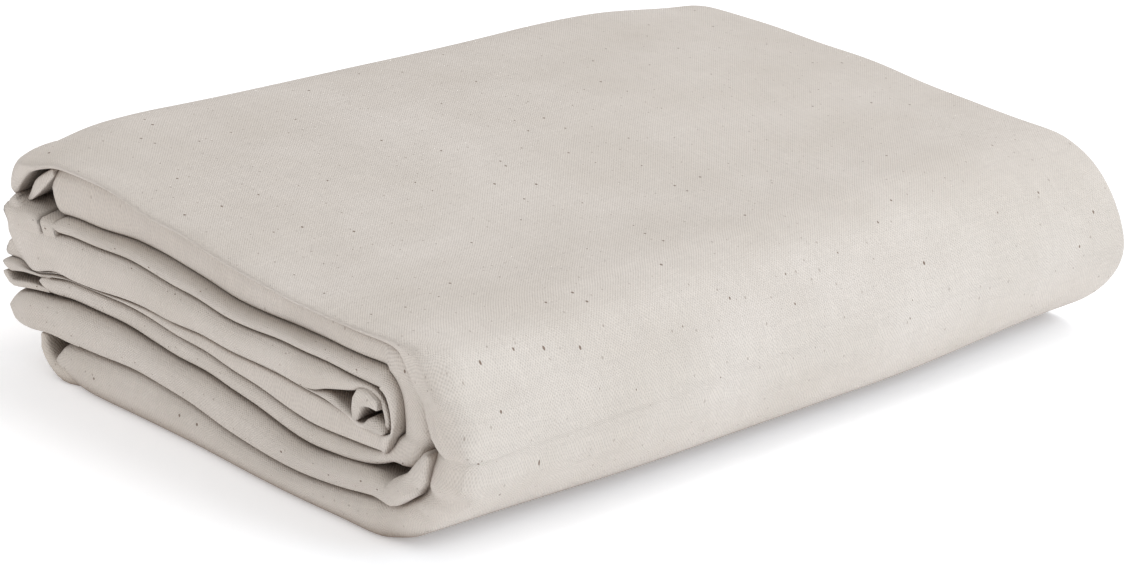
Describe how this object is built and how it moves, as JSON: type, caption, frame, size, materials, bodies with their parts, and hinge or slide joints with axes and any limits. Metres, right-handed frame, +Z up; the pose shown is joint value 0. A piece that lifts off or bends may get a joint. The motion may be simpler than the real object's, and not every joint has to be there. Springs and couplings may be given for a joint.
{
  "type": "folded canvas drop cloth",
  "caption": "Natural cotton canvas drop cloth folded into a thick flat pack, nested fold bends at the front and layered rounded pleat ends; the last fold opens like a book.",
  "frame": {"origin": "centre of the underside, on the ground the pack rests on", "axes": "+Z up; -Y front, where the book fold's bends are; -X the end where all the pleats close; +X the end with the side hems"},
  "size_m": [0.343, 0.266, 0.0828],
  "materials": {
    "canvas": "unbleached woven cotton duck with seed flecks",
    "hem_canvas": "unbleached woven cotton duck, turned double and sewn",
    "thread": "matt cotton lockstitch"
  },
  "bodies": {
    "lower_half": {"panel_g": "canvas", "side_hem_g": "hem_canvas", "side_thread_g": "thread", "panel_f": "canvas", "side_hem_f": "hem_canvas", "side_thread_f": "thread", "panel_e": "canvas", "side_hem_e": "hem_canvas", "side_thread_e": "thread", "panel_d_low": "canvas", "side_hem_d_low": "hem_canvas", "side_thread_d_low": "thread", "panel_d_top": "canvas", "side_hem_d_top": "hem_canvas", "side_thread_d_top": "thread", "back_bend_dd": "canvas", "back_bend_ef": "canvas", "end_hem_g": "hem_canvas", "end_thread_g": "thread", "front_tuck_f": "canvas", "end_hem_f": "hem_canvas", "end_thread_f": "thread", "front_wrap_tg": "canvas", "front_wrap_ae": "canvas", "front_wrap_bd": "canvas", "front_core_cd": "canvas"},
    "upper_half": {"panel_c": "canvas", "side_hem_c": "hem_canvas", "side_thread_c": "thread", "panel_b": "canvas", "side_hem_b": "hem_canvas", "side_thread_b": "thread", "panel_a": "canvas", "side_hem_a": "hem_canvas", "side_thread_a": "thread", "panel_t": "canvas", "side_hem_t": "hem_canvas", "side_thread_t": "thread", "back_wall_tc": "canvas", "back_bend_ab": "canvas"}
  },
  "joints": [
    {"name": "book_fold", "type": "hinge", "parent": "lower_half", "child": "upper_half", "pos_m": [0, -0.1146, 0.0414], "axis": [1, 0, 0], "range_deg": [0, 178], "deforming": ["front_tuck_f", "end_hem_f", "end_thread_f", "front_wrap_tg", "front_wrap_ae", "front_wrap_bd", "front_core_cd"]}
  ]
}
